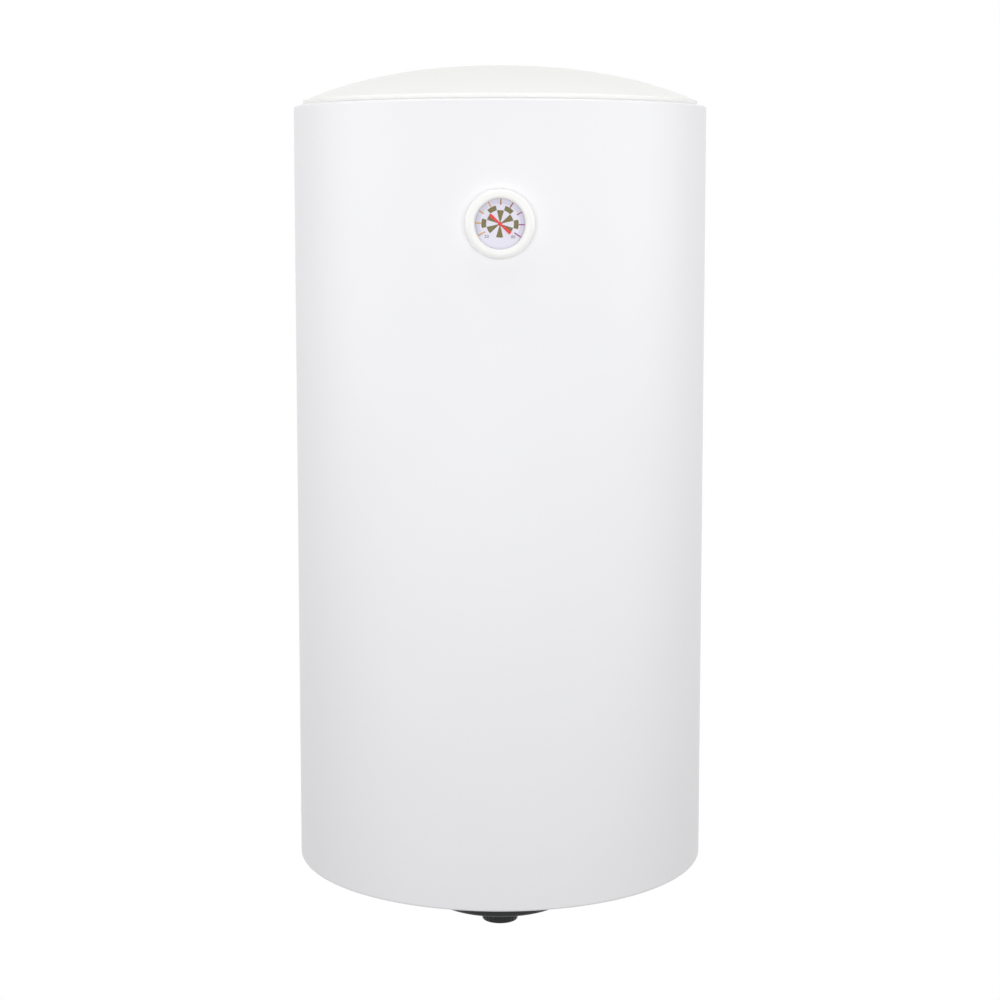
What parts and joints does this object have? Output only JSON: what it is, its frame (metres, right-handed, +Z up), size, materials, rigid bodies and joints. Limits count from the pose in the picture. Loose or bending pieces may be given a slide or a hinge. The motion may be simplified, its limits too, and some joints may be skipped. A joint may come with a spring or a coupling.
{
  "type": "storage water heater",
  "caption": "Wall-hung upright electric storage water heater: white cylindrical jacket with a domed top cover, a front dial thermometer, and a black terminal cover with a thermostat knob below.",
  "frame": {"origin": "on the wall plane, midway between the two hanging slots of the upper bracket", "axes": "+Z up along the heater's upright axis, +Y into the wall, so the front faces -Y, and +X to the right of a viewer facing the heater"},
  "size_m": [0.4499, 0.476, 0.9533],
  "materials": {
    "white_enamel": "gloss",
    "white_abs": "satin",
    "grey_abs": "satin",
    "bezel_abs": "gloss",
    "polyurethane_foam": "matte",
    "galvanised_steel": "satin",
    "tank_enamel": "gloss",
    "plated_steel": "gloss",
    "stainless_tube": "satin",
    "copper_sheath": "satin",
    "brass": "satin",
    "magnesium": "matte",
    "rubber": "matte",
    "black_pp": "satin",
    "black_nylon": "matte",
    "black_phenolic": "gloss",
    "grey_phenolic": "matte",
    "ivory_nylon": "matte",
    "blue_pp": "satin",
    "red_pp": "satin",
    "ceramic": "matte",
    "brown_pvc": "satin",
    "blue_pvc": "satin",
    "green_pvc": "satin",
    "grey_pvc": "satin",
    "neon_glass": "gloss",
    "red_lens": "gloss",
    "clear_window": "gloss",
    "printed_dial": "satin",
    "red_pointer": "satin",
    "bimetal": "satin",
    "spring_steel": "satin",
    "aluminium_pad": "satin"
  },
  "bodies": {
    "heater": {"jacket": "white_enamel", "top_cover": "white_abs", "bottom_cover": "grey_abs", "foam": "polyurethane_foam", "upper_bracket": "galvanised_steel", "lower_bracket": "galvanised_steel", "tank_shell": "tank_enamel", "tank_top_end": "tank_enamel", "tank_bottom_end": "tank_enamel", "flange_ring": "tank_enamel", "cold_nipple": "plated_steel", "hot_nipple": "plated_steel", "cold_diffuser": "ivory_nylon", "hot_outlet_tube": "stainless_tube", "cold_grommet": "blue_pp", "hot_grommet": "red_pp", "flange_gasket": "rubber", "flange_plate": "plated_steel", "flange_washers": "plated_steel", "flange_bolts": "plated_steel", "heating_element": "copper_sheath", "element_insulators": "ceramic", "element_tabs": "plated_steel", "anode_rod": "magnesium", "anode_stud": "plated_steel", "anode_nut": "plated_steel", "thermostat_pocket": "stainless_tube", "thermostat_rod": "brass", "thermostat_body": "grey_phenolic", "reset_spring": "spring_steel", "earth_stud": "brass", "earth_nut": "brass", "terminal_bracket": "galvanised_steel", "terminal_block": "ivory_nylon", "terminal_screws": "brass", "live_wire": "brown_pvc", "neutral_wire": "blue_pvc", "earth_wire": "green_pvc", "lamp_wires": "grey_pvc", "indicator_lamp": "neon_glass", "lamp_lens": "red_lens", "terminal_cover": "black_pp", "cover_screws": "plated_steel", "gland_body": "black_nylon", "gland_nut": "black_nylon", "gland_seal": "rubber", "gland_cap": "black_nylon", "thermometer_bezel": "bezel_abs", "thermometer_lens": "clear_window", "thermometer_dial": "printed_dial", "bimetal_coil": "bimetal", "thermometer_cup": "bezel_abs", "thermometer_clip": "spring_steel", "thermal_contact": "aluminium_pad"},
    "knob": {"thermostat_knob": "black_phenolic", "thermostat_spindle": "brass"},
    "needle": {"thermometer_pointer": "red_pointer", "thermometer_spindle": "brass"},
    "reset": {"reset_button": "red_pp"}
  },
  "joints": [
    {"name": "knob_turn", "type": "hinge", "parent": "heater", "child": "knob", "pos_m": [0, -0.262, -0.72], "axis": [0, 0, 1], "range_deg": [0, 240]},
    {"name": "needle_turn", "type": "hinge", "parent": "heater", "child": "needle", "pos_m": [0, -0.468, 0.048], "axis": [0, 1, 0], "range_deg": [-72, 168], "stiffness_Nm_per_rad": 0.0005, "deforming": ["bimetal_coil"]},
    {"name": "reset_press", "type": "slide", "parent": "heater", "child": "reset", "axis": [0, 0, 1], "range_m": [0, 0.0015], "stiffness_N_per_m": 100, "springref_m": -0.002, "deforming": ["reset_spring"]}
  ]
}
